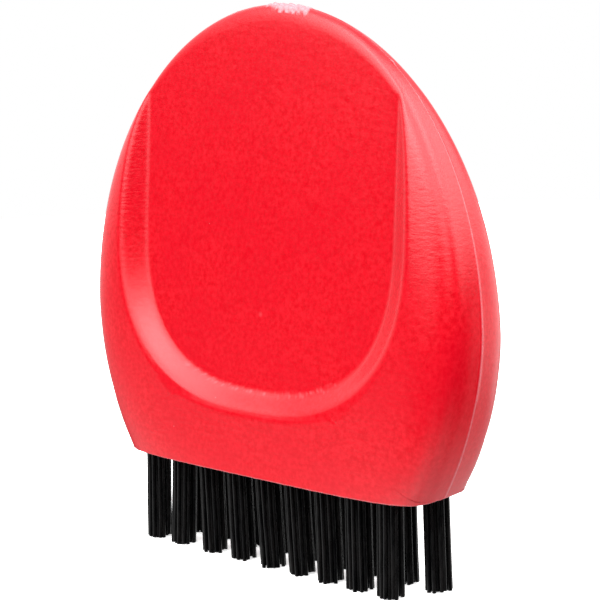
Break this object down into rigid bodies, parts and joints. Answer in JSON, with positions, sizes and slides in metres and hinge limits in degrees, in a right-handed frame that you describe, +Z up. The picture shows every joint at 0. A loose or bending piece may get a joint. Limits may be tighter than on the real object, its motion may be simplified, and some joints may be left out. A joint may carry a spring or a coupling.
{
  "type": "club groove brush",
  "caption": "Hand-held golf club groove brush: an egg-shaped moulded grip with a thumb recess on each face and staggered rows of short stiff nylon tufts in its flat bottom.",
  "frame": {"origin": "centre of the brush in plan, at the level of the trimmed bristle ends", "axes": "+Z up from the bristle ends to the top of the grip, X across the width of the grip, Y through its thickness with the front face towards -Y"},
  "size_m": [0.057, 0.013, 0.0648],
  "materials": {
    "grip_plastic": "satin red moulded polypropylene",
    "bristle_nylon": "black extruded nylon filament",
    "anchor_wire": "drawn flat wire"
  },
  "bodies": {
    "root": {"handle_body": "grip_plastic", "front_tuft_1": "bristle_nylon", "front_tuft_2": "bristle_nylon", "front_tuft_3": "bristle_nylon", "front_tuft_4": "bristle_nylon", "front_tuft_5": "bristle_nylon", "front_tuft_6": "bristle_nylon", "front_tuft_7": "bristle_nylon", "front_tuft_8": "bristle_nylon", "front_tuft_9": "bristle_nylon", "back_tuft_1": "bristle_nylon", "back_tuft_2": "bristle_nylon", "back_tuft_3": "bristle_nylon", "back_tuft_4": "bristle_nylon", "back_tuft_5": "bristle_nylon", "back_tuft_6": "bristle_nylon", "back_tuft_7": "bristle_nylon", "back_tuft_8": "bristle_nylon", "back_tuft_9": "bristle_nylon", "front_anchor_1": "anchor_wire", "front_anchor_2": "anchor_wire", "front_anchor_3": "anchor_wire", "front_anchor_4": "anchor_wire", "front_anchor_5": "anchor_wire", "front_anchor_6": "anchor_wire", "front_anchor_7": "anchor_wire", "front_anchor_8": "anchor_wire", "front_anchor_9": "anchor_wire", "back_anchor_1": "anchor_wire", "back_anchor_2": "anchor_wire", "back_anchor_3": "anchor_wire", "back_anchor_4": "anchor_wire", "back_anchor_5": "anchor_wire", "back_anchor_6": "anchor_wire", "back_anchor_7": "anchor_wire", "back_anchor_8": "anchor_wire", "back_anchor_9": "anchor_wire"}
  },
  "joints": []
}
